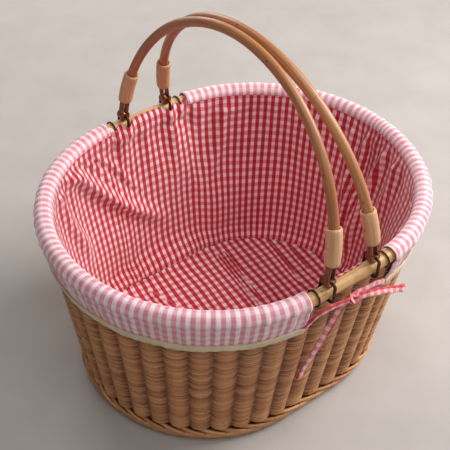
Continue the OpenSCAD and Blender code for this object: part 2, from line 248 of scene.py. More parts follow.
def wood_finish(name, deep, middle, pale, roughness, fibre=900.0, bump=0.35, spread=0.5):
    """Split or round wood fibre: long streaks along each strand, a tone of its own for each strand,
    a few darker flecks, fine ridges, and painted shade that darkens the hollows between stakes where a mesh
    carries it."""
    made, add, wire = finish(name, roughness)
    grain = add("Attribute", {}, "Vector", attribute_name="grain")
    tone = add("Attribute", {}, "Fac", attribute_name="tone")
    shift = add("VectorMath", {0: (173.0, 61.0, 29.0), 3: tone}, operation="SCALE")
    long = add("VectorMath", {0: grain, 1: (22.0, fibre, fibre)}, operation="MULTIPLY")
    streak = add("TexNoise", {"Vector": add("VectorMath", {0: long, 1: shift}),
                              "Scale": 1.0, "Detail": 4.0, "Roughness": 0.6})
    slow = add("VectorMath", {0: grain, 1: (9.0, 60.0, 60.0)}, operation="MULTIPLY")
    cloud_place = add("VectorMath", {0: slow, 1: shift})
    cloud = add("TexNoise", {"Vector": cloud_place, "Scale": 1.0, "Detail": 2.0})
    mixed = add("Math", {0: streak, 1: 0.45}, operation="MULTIPLY")
    mixed = add("Math", {0: cloud, 1: 0.35, 2: mixed}, operation="MULTIPLY_ADD")
    own = add("Math", {0: tone, 1: spread, 2: 0.1 - spread / 2}, operation="MULTIPLY_ADD")
    # Painted shade: a mesh attribute darkens the hollows where shade falls.
    painted_groove_shade = add("Attribute", {}, "Fac", attribute_name="painted_groove_shade")
    own = add("Math", {0: painted_groove_shade, 1: -0.24, 2: own}, operation="MULTIPLY_ADD")
    mixed = add("Math", {0: mixed, 1: own}, operation="ADD")
    colour = ramp(add, mixed, (0.22, deep), (0.5, middle), (0.78, pale))
    fleck_place = add("VectorMath", {0: grain, 1: (160.0, 260.0, 260.0)}, operation="MULTIPLY")
    fleck = add("TexNoise", {"Vector": fleck_place, "Scale": 1.0, "Detail": 1.0})
    spot = add("MapRange", {0: fleck, 1: 0.70, 2: 0.80})
    colour = add("Mix", {0: spot, 6: colour, 7: deep}, 2, data_type="RGBA")
    wire(colour, "Base Color")
    wire(add("MapRange", {0: streak, 1: 0.3, 2: 0.7, 3: roughness + 0.1, 4: roughness - 0.08}),
         "Roughness")
    wire(add("Bump", {"Height": streak, "Strength": bump, "Distance": 0.0004}), "Normal")
    return made


wicker = wood_finish("wicker", dye(124, 70, 42), dye(202, 144, 94), dye(230, 184, 130), 0.5, spread=0.16)

stake_angle = math.radians(9)
end_stakes = 20
side_stakes = (-0.024, 0.0, 0.024)
stake_half = 0.0021
stake_runs = []
for half in range(2):
    first = half * (2 * end_x + bend_run)
    stake_runs += [first + x for x in side_stakes]
    stake_runs += [first + end_x + (k + 0.5) * stake_angle * end_r for k in range(end_stakes)]
stake_runs = np.sort(np.array(stake_runs) % rim_run)
stake_count = len(stake_runs)
rows_low, rows_high = 0.0200, 0.1905
row_count = 53
row_pitch = (rows_high - rows_low) / row_count
weaver_half, weaver_half_depth = 0.00172, 0.0011
weaver_swing, weaver_rise = 0.0029, 0.0004
weaver_sides = 5
groove_depth = 0.0022
steps_per_stake = 4

draw = random.Random(11)
stakes_passed = np.arange(stake_count * steps_per_stake) / steps_per_stake
between = np.interp(stakes_passed, np.arange(stake_count + 1),
                    np.append(stake_runs, stake_runs[0] + rim_run))
phase = stakes_passed * math.pi


def twined_row(z, swing, rise, half_width, half_depth):
    """Two weavers twined round all the stakes at one height, as two closed strands. They swell over
    each stake and sink between stakes, which makes the wall's upright ribs."""
    wander = 0.0004 * np.sin(phase * 2 * draw.randint(2, 5) / stake_count + draw.uniform(0, 6))
    pair = []
    for side in (1, -1):
        reach = swing * (1 + draw.uniform(-0.05, 0.05))
        bow = np.sign(np.cos(phase)) * np.abs(np.cos(phase)) ** 0.6
        groove = groove_depth * np.sin(phase) ** 4
        points = place(between, side * reach * bow - groove, z + wander + side * rise * np.sin(phase))
        pair.append(strand(points, half_width * draw.uniform(0.94, 1.05), half_depth, closed=True,
                           sides=weaver_sides, tone=draw.random()))
    return pair


weavers = []
for row in range(row_count):
    weavers += twined_row(rows_low + (row + 0.5) * row_pitch, weaver_swing, weaver_rise,
                          weaver_half, weaver_half_depth)
wall_twining = fit(bundle("wall_twining", weavers), "basket", "wicker", wicker, "wall_weave")
# Painted shade for the wall's grooves: the weavers are darkened most where they sink between stakes.
painted_groove_shade = np.tile(np.repeat(np.sin(phase) ** 4, weaver_sides), len(weavers)).astype(np.float32)
wall_twining.data.attributes.new("painted_groove_shade", "FLOAT", "POINT").data.foreach_set("value", painted_groove_shade)

stakes = []
stake_heights = np.linspace(0.002, 0.199, 14)
stake_outset = np.full(14, -0.0002)
for run in stake_runs:
    sway = 0.0004 * np.sin(stake_heights * draw.uniform(20, 40) + draw.uniform(0, 6))
    points = place(run + sway, stake_outset, stake_heights)
    stakes.append(strand(points, stake_half * draw.uniform(0.94, 1.06), across=plan(run)[1], sides=10,
                         tone=draw.random()))
fit(bundle("willow_stakes", stakes), "basket", "wicker", wicker, "stakes")


# Foot border. Every stake's end is turned down as a pair of thin rods, and each pair runs on in front
# of three stakes and is tucked in under the next, which makes a low slanting plait round the foot.

border_span = 3.1
border_steps = 18
border_top, border_drop = 0.0175, 0.0140
rod_half, rod_apart = 0.0017, 0.0015
border = []
share = np.linspace(0, 1, border_steps)
stakes_ahead = np.concatenate([[stake_runs[-1] - rim_run], stake_runs, stake_runs[:5] + rim_run])
for k in range(stake_count):
    start = k - 0.25
    runs = np.interp(start + share * border_span, np.arange(-1, stake_count + 5), stakes_ahead)
    drop = border_top - border_drop * (0.35 * share + 0.65 * (3 * share ** 2 - 2 * share ** 3))
    swell = np.sin(math.pi * np.clip(share * 1.12, 0, 1)) ** 0.8
    outset = -0.0026 + 0.0064 * swell
    for rod in (-1, 1):
        points = place(runs, outset + 0.0003 * rod, drop + rod * rod_apart)
        border.append(strand(points, rod_half * draw.uniform(0.94, 1.05), across=plan(runs)[1],
                             sides=8, tone=draw.random()))
edge_steps = 240
edge_runs = np.arange(edge_steps) / edge_steps * rim_run
for turn in (0, math.pi):
    twist = edge_runs / rim_run * 2 * math.pi * stake_count + turn
    points = place(edge_runs, 0.0006 + 0.0012 * np.cos(twist), 0.0024 + 0.0010 * np.sin(twist))
    border.append(strand(points, 0.0013, across=plan(edge_runs)[1], closed=True, sides=6,
                         tone=draw.random()))
fit(bundle("foot_plait", border), "basket", "wicker", wicker, "foot_border")


# Base. Seven flat sticks lie across under the basket, and round rods woven over and under them make the
# bottom. It is hidden by the liner and shows only from below.

base_z = 0.006
base_r = end_r - wall_taper - 0.0015
stick_gap = 0.040
rod_pitch, rod_wave = 0.0031, 0.0016
shortest_reach = 0.045
base_rods = []
for k in range(int(2 * base_r / rod_pitch)):
    y = -base_r + (k + 0.5) * rod_pitch
    reach = end_x + math.sqrt(base_r ** 2 - y ** 2) - 0.001
    if reach < shortest_reach:
        continue
    x = np.linspace(-reach, reach, 61)
    wave = (1 if k % 2 else -1) * rod_wave * np.cos(math.pi * x / stick_gap)
    base_rods.append(strand(np.stack([x, 0 * x + y, base_z + wave], -1), 0.0015, 0.0012, across=(0, 1, 0),
                            sides=6, tone=draw.random()))
fit(bundle("base_rods", base_rods), "basket", "wicker", wicker, "base_weave")
sticks = []
for k in range(-3, 4):
    x = k * stick_gap
    reach = math.sqrt(base_r ** 2 - max(abs(x) - end_x, 0) ** 2) - 0.002
    y = np.linspace(-reach, reach, 9)
    sticks.append(strand(np.stack([0 * y + x, y, 0 * y + base_z], -1), 0.0024, 0.0013, across=(1, 0, 0),
                         sides=8, tone=draw.random()))
fit(bundle("base_cross_sticks", sticks), "basket", "wicker", wicker, "base_sticks")


# Rim. Three rows of stouter twining bind the tops of the stakes, and a thick peeled pole lies on them
# all round. It shows bare between the two cuffs, where the handles are wired on.

pole_finish = wood_finish("rim_pole", dye(140, 92, 52), dye(204, 160, 106), dye(228, 192, 142), 0.45,
                          fibre=420.0, bump=0.2, spread=0.2)
waling = []
waling_half, waling_swing, waling_rise = 0.0018, 0.0023, 0.0006
for z, depth in ((0.1925, 0.0014), (0.1958, 0.0013), (0.1990, 0.0012)):
    waling += twined_row(z, waling_swing, waling_rise, waling_half, depth)
fit(bundle("rim_waling_twined", waling), "basket", "wicker", wicker, "rim_waling")
pole_steps = 300
pole_half = 0.0069
pole_runs = np.arange(pole_steps) / pole_steps * rim_run
pole_swell = pole_half + 0.00008 * np.sin(pole_runs / rim_run * 2 * math.pi * 9) \
    + 0.00006 * np.sin(pole_runs / rim_run * 2 * math.pi * 23)
pole_line = place(pole_runs, 0 * pole_runs, 0 * pole_runs + rim_z)
fit(bundle("rim_pole_peeled", [strand(pole_line, pole_swell, closed=True, sides=24, tone=0.5)]),
    "basket", "cane", pole_finish, "rim_pole")


# Wires. Four dark iron links are bent over the rim pole and down through the weave, one for each handle
# foot, with four plain loops beside them that hold the pole to the wall.

iron, add, wire = finish("dark_iron", 0.45, Metallic=0.75)
worn = add("TexNoise", {"Vector": add("TexCoord", {}, "Object"), "Scale": 420.0, "Detail": 3.0})
wire(ramp(add, worn, (0.35, dye(58, 34, 24)), (0.6, dye(92, 58, 40)), (0.8, dye(146, 106, 78))),
     "Base Color")
wire(add("MapRange", {0: worn, 1: 0.3, 2: 0.8, 3: 0.55, 4: 0.3}), "Roughness")
wire(add("Bump", {"Height": worn, "Strength": 0.2, "Distance": 0.0002}), "Normal")


def dress(node, made):
    """Gives a CAD solid that is seen as it is its material."""
    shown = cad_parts[node]
    shown.data.materials.clear()
    shown.data.materials.append(made)


for node in ("rim_tie_wires", "link_left_front", "link_left_back", "link_right_front", "link_right_back"):
    dress(node, iron)


# Liner. A checked cotton lining: a flat oval bottom with the cloth's lines along and across the basket,
# and a long strip gathered round it that stands against the weave and is drawn in under the rim roll.

check = 0.0098
fullness = 1.2
cloth_thickness = 0.0008
thread_turns = 9000.0
gathered_at = 0.200


def check_finish(name, whites, roses, reds, deeps):
    """Woven checks: red warp stripes over a paler red weft on white, with threads, fluff and fading.
    Each cloth colour is a faded one and a fresh one."""
    made, add, wire = finish(name, 0.85, Sheen_Weight=0.35, Sheen_Roughness=0.5, Specular_IOR_Level=0.25)
    weave = add("Attribute", {}, "Vector", attribute_name="weave")
    parts = add("SeparateXYZ", {0: weave}, 0)
    uneven = add("TexNoise", {"Vector": weave, "Scale": 60.0, "Detail": 2.0})

    def stripe(distance):
        wave = add("Math", {0: distance, 1: check / 2}, operation="PINGPONG")
        soft = add("Math", {0: uneven, 1: 0.0009, 2: -0.00045}, operation="MULTIPLY_ADD")
        return add("MapRange", {0: add("Math", {0: wave, 1: soft}), 1: check * 0.208, 2: check * 0.276},
                   interpolation_type="SMOOTHSTEP")

    warp, weft = stripe(parts), stripe(parts.node.outputs[1])
    fade = add("TexNoise", {"Vector": weave, "Scale": 9.0, "Detail": 3.0})
    white, rose, red, deep = (ramp(add, fade, (0.3, dye(*worn)), (0.7, dye(*fresh)))
                              for worn, fresh in (whites, roses, reds, deeps))
    over_white = add("Mix", {0: weft, 6: white, 7: rose}, 2, data_type="RGBA")
    over_red = add("Mix", {0: weft, 6: red, 7: deep}, 2, data_type="RGBA")
    colour = add("Mix", {0: warp, 6: over_white, 7: over_red}, 2, data_type="RGBA")
    warp_turn = add("Math", {0: parts, 1: thread_turns}, operation="MULTIPLY")
    weft_turn = add("Math", {0: parts.node.outputs[1], 1: thread_turns}, operation="MULTIPLY")
    thread_u = add("Math", {0: warp_turn}, operation="SINE")
    thread_v = add("Math", {0: weft_turn}, operation="SINE")
    thread = add("Math", {0: thread_u, 1: thread_v}, operation="MULTIPLY")
    lit = add("MapRange", {0: thread, 1: -1.0, 2: 1.0, 3: 0.9, 4: 1.0})
    colour = add("VectorMath", {0: colour, 3: lit}, operation="SCALE")
    wire(colour, "Base Color")
    creases = add("TexNoise", {"Vector": weave, "Scale": 140.0, "Detail": 3.0})
    height = add("Math", {0: thread, 1: 0.12, 2: creases}, operation="MULTIPLY_ADD")
    wire(add("Bump", {"Height": height, "Strength": 0.35, "Distance": 0.0006}), "Normal")
    return made


check_cotton = check_finish(
    "check_cotton", ((240, 213, 214), (251, 231, 231)), ((228, 140, 150), (237, 160, 168)),
    ((192, 48, 64), (206, 66, 80)), ((168, 20, 38), (184, 32, 50)))


def cloth(name, points, weave, thickness):
    """A sheet from a grid of points, with each point's place on the flat cloth, and its thickness."""
    rows, columns = points.shape[:2]
    i = np.arange(rows - 1)[:, None] * columns
    j = np.arange(columns - 1)[None]
    quads = np.stack([i + j, i + j + 1, i + columns + j + 1, i + columns + j], -1).reshape(-1, 4)
    mesh = bpy.data.meshes.new(name)
    mesh.from_pydata(points.reshape(-1, 3).tolist(), [], quads.tolist())
    flat = np.concatenate([weave, np.zeros(weave.shape[:2] + (1,))], -1)
    mesh.attributes.new("weave", "FLOAT_VECTOR", "POINT").data.foreach_set(
        "vector", flat.astype(np.float32).ravel())
    mesh.shade_smooth()
    piece = bpy.data.objects.new(name, mesh)
    bpy.context.scene.collection.objects.link(piece)
    solid = piece.modifiers.new("thickness", "SOLIDIFY")
    solid.thickness = thickness
    solid.offset = 0
    return piece


def smooth(x):
    """An even blend from 0 to 1 while x goes from 0 to 1."""
    x = np.clip(x, 0, 1)
    return x * x * (3 - 2 * x)


wall_columns = 620
wall_runs = np.linspace(0, rim_run, wall_columns)
folds = random.Random(4)
gather_count, slack_count = 70, 10
# Each gather has a place round the rim, half width, height, length down the wall, and slant.
gathers = [(folds.uniform(0, rim_run), folds.uniform(0.005, 0.011), folds.uniform(0.0010, 0.0032),
            folds.uniform(0.04, 0.13), folds.uniform(-0.25, 0.25)) for _ in range(gather_count)]
# Each slack swell has a place round the rim, half width, height, level on the wall, and reach up and down.
slack = [(folds.uniform(0, rim_run), folds.uniform(0.03, 0.06), folds.uniform(0.003, 0.006),
          folds.uniform(0.05, 0.14), folds.uniform(0.03, 0.05)) for _ in range(slack_count)]
# Each drawn fold has a place round the rim and a level at its upper end, the same at its lower end,
# half width, and height off the cloth.
drawn = [
    (0.726, 0.205, 0.598, 0.084, 0.013, 0.0105),
    (0.695, 0.205, 0.616, 0.118, 0.005, 0.0030),
    (0.670, 0.197, 0.606, 0.124, 0.005, 0.0026),
    (0.752, 0.198, 0.715, 0.090, 0.010, 0.0060),
    (0.560, 0.190, 0.520, 0.080, 0.016, 0.0035),
    (0.262, 0.200, 0.282, 0.050, 0.005, 0.0085),
    (0.296, 0.202, 0.284, 0.040, 0.005, 0.0090),
    (0.316, 0.200, 0.300, 0.040, 0.006, 0.0060),
    (0.236, 0.198, 0.240, 0.070, 0.009, 0.0050),
    (0.480, 0.196, 0.510, 0.110, 0.012, 0.0045),
    (0.880, 0.200, 0.860, 0.080, 0.010, 0.0060),
    (0.980, 0.196, 1.000, 0.090, 0.009, 0.0050),
    (0.120, 0.198, 0.150, 0.080, 0.010, 0.0055),
    (0.060, 0.196, 0.050, 0.110, 0.009, 0.0045)]


def apart(run, middle):
    """Signed distance round the rim."""
    return (run - middle + rim_run / 2) % rim_run - rim_run / 2


def from_side(run):
    """Distance round the rim from the middle of the nearer long side."""
    return np.abs((run + rim_run / 4) % (rim_run / 2) - rim_run / 4)


def fold_depth(run, z):
    """How far the lining stands off the weave: gathers under the roll, slack swells and drawn folds."""
    depth = 0 * run
    under = gathered_at - z
    for middle, width, height, length, slant in gathers:
        width = width * (1 + under / 0.12)
        depth = depth + height * np.exp(-(apart(run, middle + slant * under) / width) ** 2) \
            * (1 - smooth(under / length)) * smooth((under + 0.02) / 0.02)
    for middle, width, height, level, tall in slack:
        depth = depth + height * np.exp(-(apart(run, middle) / width) ** 2 - ((z - level) / tall) ** 2)
    for run_top, z_top, run_low, z_low, width, height in drawn:
        down = (z_top - z) / (z_top - z_low)
        bend = 0.003 * np.sin(down * 7 + run_top * 40)
        middle = run_top + (run_low - run_top) * down + bend
        depth = depth + height * np.exp(-(apart(run, middle) / width) ** 2) \
            * smooth((down + 0.04) / 0.14) * smooth((1.25 - down) / 0.5)
    ripple = 0.0003 * np.sin(run * 2 * math.pi / 0.0131) + 0.0002 * np.sin(run * 2 * math.pi / 0.0079 + 1)
    return depth + ripple * (1 - smooth(under / 0.06))


bare_half = 0.053
bare_run = end_x + math.asin((bare_half - end_x) / end_r) * end_r
link_run, loop_run = 0.028, 0.044
strip_low, strip_top = 0.0108, 0.1985


def seam_inset(run):
    """How far the bottom seam stands in from the wall: the lining bridges the corner, most on the
    straight sides."""
    return 0.004 + 0.012 * np.exp(-(from_side(run) / 0.10) ** 2)


def liner_grid(heights):
    """Points of the gathered strip: heights runs from 0 at the bottom seam to 1 under the rim. Between
    the cuffs its edge goes up over the bare pole, and dips where a wire crosses it."""
    run, share = np.meshgrid(wall_runs, heights)
    bridge = seam_inset(run)
    near = from_side(run)
    covered = smooth((near - bare_run + 0.001) / 0.012)
    bare = 1 - covered
    at_link = np.exp(-((near - link_run) / 0.0055) ** 2)
    at_loop = np.exp(-((near - loop_run) / 0.004) ** 2)
    edge = 0.0143 - 0.0050 * at_link - 0.0038 * at_loop
    z = strip_low + (strip_top + 0.0075 * covered + edge * bare - strip_low) * share
    corner = bridge * (1 - smooth((z - strip_low) / (2.2 * bridge + 0.006))) ** 1.5
    z = z + 0.25 * bridge * (1 - smooth((z - strip_low) / 0.03))
    fold = fold_depth(run, z) * smooth((z - strip_low) / 0.03) * (1 - smooth((share - 0.90) / 0.10))
    fold[:, -1] = fold[:, 0]
    to_roll = smooth((z - 0.178) / 0.028)
    hug = 0.0078 + 0.0037 * at_link + 0.0020 * at_loop
    over_pole = np.sqrt(np.maximum(hug ** 2 - np.maximum(z - rim_z, 0) ** 2, 1e-6))
    onto_pole = 0.0046 + (over_pole - 0.0046) * smooth((z - 0.186) / 0.014)
    outset = -corner - fold - covered * (0.0046 + 0.0042 * to_roll) - bare * onto_pole
    return run, place(run, outset, z), share


levels = np.concatenate([np.linspace(0, 0.2, 16)[:-1], np.linspace(0.2, 0.88, 34)[:-1],
                         np.linspace(0.88, 1, 14)])
run_grid, wall_points, share_grid = liner_grid(levels)
middle_line = wall_points[len(levels) // 2]
path_steps = np.linalg.norm(np.diff(middle_line, axis=0, prepend=middle_line[:1]), axis=1)
cloth_run = np.cumsum(path_steps) * fullness
rise_steps = np.linalg.norm(np.diff(wall_points, axis=0, prepend=wall_points[:1]), axis=2)
cloth_rise = np.cumsum(rise_steps, 0).mean(1)
sway = 0.0015 * np.sin(run_grid / rim_run * 2 * math.pi * 7) * np.sin(share_grid * 5)
wall_weave_place = np.stack([np.broadcast_to(cloth_run, run_grid.shape) + sway,
                             np.broadcast_to(cloth_rise[:, None], run_grid.shape)
                             + 0.002 * np.sin(run_grid * 31) + 0.5 * fold_depth(run_grid, 0.12)], -1)
liner_strip = fit(cloth("lining_wall_strip", wall_points, wall_weave_place, cloth_thickness),
                  "basket", "check_cloth", check_cotton, "liner_wall")

# The bottom panel is made of rings that close in to the basket's long middle line, puckered at the seam.
panel_z = 0.0106
run, ring = np.meshgrid(np.linspace(0, rim_run, 521), np.linspace(0, 1, 90))
inset_start = wall_taper * (1 - 0.011 / rim_z) + 0.0034 + seam_inset(run)
bottom_outset = -inset_start - (end_r - inset_start) * ring
from_seam = (end_r - inset_start) * ring
pucker = 0.0007 * np.sin(run * 2 * math.pi / 0.019 + 2 * np.sin(run * 9)) * np.exp(-from_seam / 0.012)
bottom_points = place(run, bottom_outset, 0 * run + panel_z, leaning=False)


def long_fold(points, start, end, width, height):
    """How high a drawn crease across the bottom panel, from one point to another, lifts the cloth."""
    start, end = np.array(start), np.array(end)
    way = end - start
    length = np.linalg.norm(way)
    way = way / length
    offset = points[..., :2] - start
    along = offset @ way
    side = offset @ np.array([-way[1], way[0]])
    fade = smooth(along / 0.02) * smooth((length - along) / 0.03)
    return height * fade * np.exp(-(side / width) ** 2)


bottom_z = 0.0009 * np.sin(bottom_points[..., 0] * 60 + 1) * np.sin(bottom_points[..., 1] * 70)
for start, end, width, height in (((0.060, 0.110), (0.036, -0.020), 0.0021, 0.0062),
                                  ((0.070, 0.108), (0.048, 0.000), 0.0019, 0.0052),
                                  ((0.128, 0.088), (0.104, -0.010), 0.0022, 0.0050),
                                  ((0.142, 0.066), (0.126, -0.010), 0.0020, 0.0042),
                                  ((-0.050, 0.108), (-0.030, 0.020), 0.0040, 0.0028),
                                  ((-0.120, -0.060), (-0.090, 0.010), 0.0040, 0.0030)):
    bottom_z = bottom_z + long_fold(bottom_points, start, end, width, height)
bottom_points[..., 2] += pucker + bottom_z + 0.25 * seam_inset(run) * np.exp(-from_seam / 0.010)
bottom_turn, bottom_stretch = math.radians(7.4), 1.05
bottom_x, bottom_y = bottom_points[..., 0] + 1.5 * bottom_z, bottom_points[..., 1] + 0.3 * bottom_z
bottom_weave = bottom_stretch * np.stack(
    [bottom_x * math.cos(bottom_turn) - bottom_y * math.sin(bottom_turn),
     bottom_x * math.sin(bottom_turn) + bottom_y * math.cos(bottom_turn)], -1)
bottom_panel = fit(cloth("lining_bottom_panel", bottom_points, bottom_weave, cloth_thickness),
                   "basket", "check_cloth", check_cotton, "liner_floor")


# Cuffs and bands. The lining's upper edge goes over the rim as two padded cuffs, one on each end, and
# hangs outside to a plain cream tape that is stitched along the lower edge and gathers it a little.

roll_r = 0.0088
roll_end_z = 0.1995
skirt_top, skirt_low = 0.1975, 0.1685
cuff_columns = 420
cuff_thickness = 0.0010


def cuff_profile():
    """Outset from the rim pole's middle, and height: from inside the roll, over it, to the skirt's edge."""
    turn = np.radians(np.linspace(180, -38, 23))
    outset = roll_r * np.cos(turn)
    z = rim_z + roll_r * np.sin(turn)
    skirt_z = np.linspace(skirt_top, skirt_low, 14)
    skirt_start = outset[-1] - 0.0009
    hang = smooth((roll_end_z - skirt_z) / 0.026)
    skirt_lean = -wall_taper * (1 - skirt_z / rim_z)
    skirt = skirt_start * (1 - hang) + (skirt_lean + 0.0050) * hang
    return np.concatenate([outset, skirt]), np.concatenate([z, skirt_z])


profile_out, profile_z = cuff_profile()
profile_run = np.cumsum(np.hypot(np.diff(profile_out, prepend=profile_out[0]),
                                 np.diff(profile_z, prepend=profile_z[0])))
tape_thickness, tape_width = 0.0011, 0.0080
tape_top = 0.1742
stitch_levels, stitch_half = (0.1731, 0.1676), 0.00022
stitch_length, stitch_pitch = 0.0023, 0.0034
tape, add, wire = finish("cream_tape", 0.8, Sheen_Weight=0.3, Specular_IOR_Level=0.25)
weave = add("Attribute", {}, "Vector", attribute_name="weave")
parts = add("SeparateXYZ", {0: weave}, 0)
slant = add("Math", {0: parts, 1: parts.node.outputs[1]}, operation="ADD")
twill = add("Math", {0: add("Math", {0: slant, 1: 5200.0}, operation="MULTIPLY")}, operation="SINE")
soiled = add("TexNoise", {"Vector": weave, "Scale": 45.0, "Detail": 4.0})
cream = ramp(add, soiled, (0.3, dye(214, 196, 160)), (0.7, dye(236, 222, 190)))
lit = add("MapRange", {0: twill, 1: -1.0, 2: 1.0, 3: 0.88, 4: 1.0})
wire(add("VectorMath", {0: cream, 3: lit}, operation="SCALE"), "Base Color")
relief = add("Math", {0: twill, 1: 0.3, 2: soiled}, operation="MULTIPLY_ADD")
wire(add("Bump", {"Height": relief, "Strength": 0.4, "Distance": 0.0004}), "Normal")

# Painted light: the cuffs are the lining's own check cloth, given paler, softer colours that paint in the
# light falling on the roll.
cuff_cotton_painted_light = check_finish(
    "cuff_cotton_painted_light", ((246, 226, 230), (253, 240, 242)), ((242, 206, 213), (248, 222, 227)),
    ((232, 164, 178), (240, 181, 193)), ((221, 136, 153), (232, 155, 170)))
cuff_stretch = 1.09
twice_round = np.concatenate([wall_runs, wall_runs[1:] + rim_run])
twice_cloth = np.concatenate([cloth_run, cloth_run[1:] + cloth_run[-1]])


def edge_wave(run):
    """The slow rise and fall of the cuff's lower edge, its tape and the tape's seams."""
    return 0.0006 * np.sin(run * 2 * math.pi / 0.061 + 1.0)


for side, first in (("right", bare_run), ("left", bare_run + rim_run / 2)):
    runs = np.linspace(first, first + rim_run / 2 - 2 * bare_run, cuff_columns)
    run, row = np.meshgrid(runs, np.arange(len(profile_out)))
    crossed = profile_run[row]
    to_end = np.minimum(run - runs[0], runs[-1] - run)
    open_end = 1 - smooth(to_end / 0.008)
    pleat = np.sin(run * 2 * math.pi / 0.0147 + 2.2 * np.sin(run * 17)) \
        + 0.6 * np.sin(run * 2 * math.pi / 0.0093 + 1.7 * np.sin(run * 23 + 1))
    on_skirt = smooth((crossed - 0.014) / 0.025) * (1 - smooth((crossed - profile_run[-1] + 0.012) / 0.006))
    swell_in = smooth(crossed / 0.006)
    swell = swell_in * (pleat * (0.00016 + 0.00045 * on_skirt) + 0.0006 * open_end)
    turn_in = np.arctan2(profile_z[row] - rim_z, profile_out[row])
    on_roll = profile_z[row] > roll_end_z
    outset = profile_out[row] + swell * np.where(on_roll, np.cos(turn_in), 1.0)
    z = profile_z[row] + swell * np.where(on_roll, np.sin(turn_in), 0.0)
    z = z + on_skirt * edge_wave(run)
    points = place(run, outset, z, leaning=False)
    cuff_weave = np.stack([np.interp(run, twice_round, twice_cloth) * cuff_stretch,
                           cloth_rise[-1] + crossed], -1)
    cuff = fit(cloth("cuff_cloth_" + side, points, cuff_weave, cuff_thickness),
               "basket", "check_cloth", cuff_cotton_painted_light, "cuff_" + side)
    run, level = np.meshgrid(runs, np.linspace(0, 1, 7))
    edge = np.interp(run, runs, outset[-1] + wall_taper * (1 - z[-1] / rim_z))
    z = tape_top - tape_width * level + edge_wave(run)
    belly = 0.0005 * np.sin(math.pi * level)
    ruffle = 0.0003 * level * np.sin(run * 2 * math.pi / 0.011 + np.sin(run * 40))
    points = place(run, edge + 0.0011 + belly + ruffle - 0.0004 * level, z)
    band_run = np.broadcast_to((runs - runs[0])[None], run.shape)
    band_weave = np.stack([band_run, level * tape_width], -1)
    band = fit(cloth("band_tape_" + side, points, band_weave, tape_thickness),
               "basket", "band_cloth", tape, "band_" + side)
    stitches = []
    bow = np.linspace(0, 1, 5)
    for at in np.arange(runs[0] + 0.003, runs[-1] - 0.003, stitch_pitch):
        for stitch_z in stitch_levels:
            out_here = np.interp(at, runs, edge[0]) + 0.0019 + 0.00025 * np.sin(math.pi * bow)
            stitch_run = at + stitch_length * bow
            points = place(stitch_run, out_here, stitch_z + edge_wave(stitch_run))
            stitches.append(strand(points, stitch_half, sides=5, tone=0.8))
    thread = fit(bundle("band_stitches_" + side, stitches), "basket", "band_cloth", tape)


# Ties. At the middle of each long side two ties, folded from the checked cloth, come out of the cuffs'
# ends, cross in one overhand knot under the bare rim, and hang down the wall with hemmed ends.

tie_half = 0.0035
tie_thin = 0.0016
tie_square = 0.8
knot_size = 0.00165
knot_half, knot_thin = 0.0031, 0.0019
tie_cotton = check_finish(
    "tie_cotton", ((238, 186, 188), (246, 200, 200)), ((228, 124, 132), (236, 142, 148)),
    ((204, 62, 78), (214, 78, 92)), ((184, 34, 52), (196, 48, 64)))
# Each route is in millimetres, from where the tie comes out under the cuff to its free end.
tail_route = [(-53.5, -163, 170), (-51.8, -164.3, 173), (-49.5, -166, 178), (-46.5, -168, 183.5),
              (-42, -169.6, 188), (-35, -171, 190), (-24, -171.5, 190), (-12, -172.5, 189),
              (0, -172.8, 187), (12, -173.5, 185), (25, -174.5, 181.5), (38, -175, 177),
              (50, -175.5, 171.5), (60, -175.5, 167), (70, -175, 162)]
drop_route = [(53.5, -163, 170), (49.5, -165, 174), (43.5, -166.8, 178.5), (36, -168.2, 182.5),
              (26, -169.5, 185.5), (16, -170, 187), (6, -169.8, 187.5), (-4, -169.5, 185),
              (-11.5, -169, 178), (-17, -168.5, 168.5), (-22, -168, 158), (-27.5, -167, 147),
              (-33, -166, 135.5), (-38.5, -164.5, 123.5), (-43.5, -162.5, 111), (-48, -160, 97)]


def through(route, spacing):
    """A smooth line through the route's points, in metres, with a point every spacing, and the distance
    along it."""
    knots = np.array(route, float) / 1000
    padded = np.vstack([2 * knots[0] - knots[1], knots, 2 * knots[-1] - knots[-2]])
    fine = []
    for a, b, c, d in zip(padded, padded[1:], padded[2:], padded[3:]):
        for t in np.linspace(0, 1, 12, endpoint=False):
            fine.append(0.5 * (2 * b + (c - a) * t + (2 * a - 5 * b + 4 * c - d) * t ** 2
                               + (3 * b - a - 3 * c + d) * t ** 3))
    fine = np.array(fine + [knots[-1]])
    run = np.concatenate([[0], np.cumsum(np.linalg.norm(np.diff(fine, axis=0), axis=1))])
    even = np.linspace(0, run[-1], max(2, round(run[-1] / spacing)) + 1)
    return np.stack([np.interp(even, run, fine[:, k]) for k in range(3)], -1), even


def tie(name, line, run, facing, twist, node):
    """One flat cloth tie along the line, turned about it by twist degrees along its length, and its
    hemmed end."""
    along = np.gradient(line, axis=0)
    along /= np.linalg.norm(along, axis=1)[:, None]
    flat_on = np.cross(np.broadcast_to(facing, line.shape), along)
    flat_on /= np.linalg.norm(flat_on, axis=1)[:, None]
    over = np.cross(along, flat_on)
    angle = np.radians(np.interp(run / run[-1], *zip(*twist)))[:, None]
    across = flat_on * np.cos(angle) + over * np.sin(angle)
    crumple = 1 + 0.10 * np.sin(run * 2 * math.pi / 0.023) + 0.06 * np.sin(run * 2 * math.pi / 0.0097)
    hem = smooth((run - run[-1] + 0.009) / 0.002)
    ribbon = strand(line, tie_half * crumple * (1 + 0.16 * hem),
                    tie_thin * (2 - crumple) * (1 + 0.55 * hem),
                    across=across, sides=14, square=tie_square, tone=0.5)
    piece = bundle(name, [ribbon])
    grain = ribbon[3]
    weave = np.stack([grain[:, 1] + 0.0013 * np.sign(grain[:, 2]), grain[:, 0], 0 * grain[:, 0]], -1)
    piece.data.attributes.new("weave", "FLOAT_VECTOR", "POINT").data.foreach_set(
        "vector", weave.astype(np.float32).ravel())
    return fit(piece, "basket", "check_cloth", tie_cotton, node)


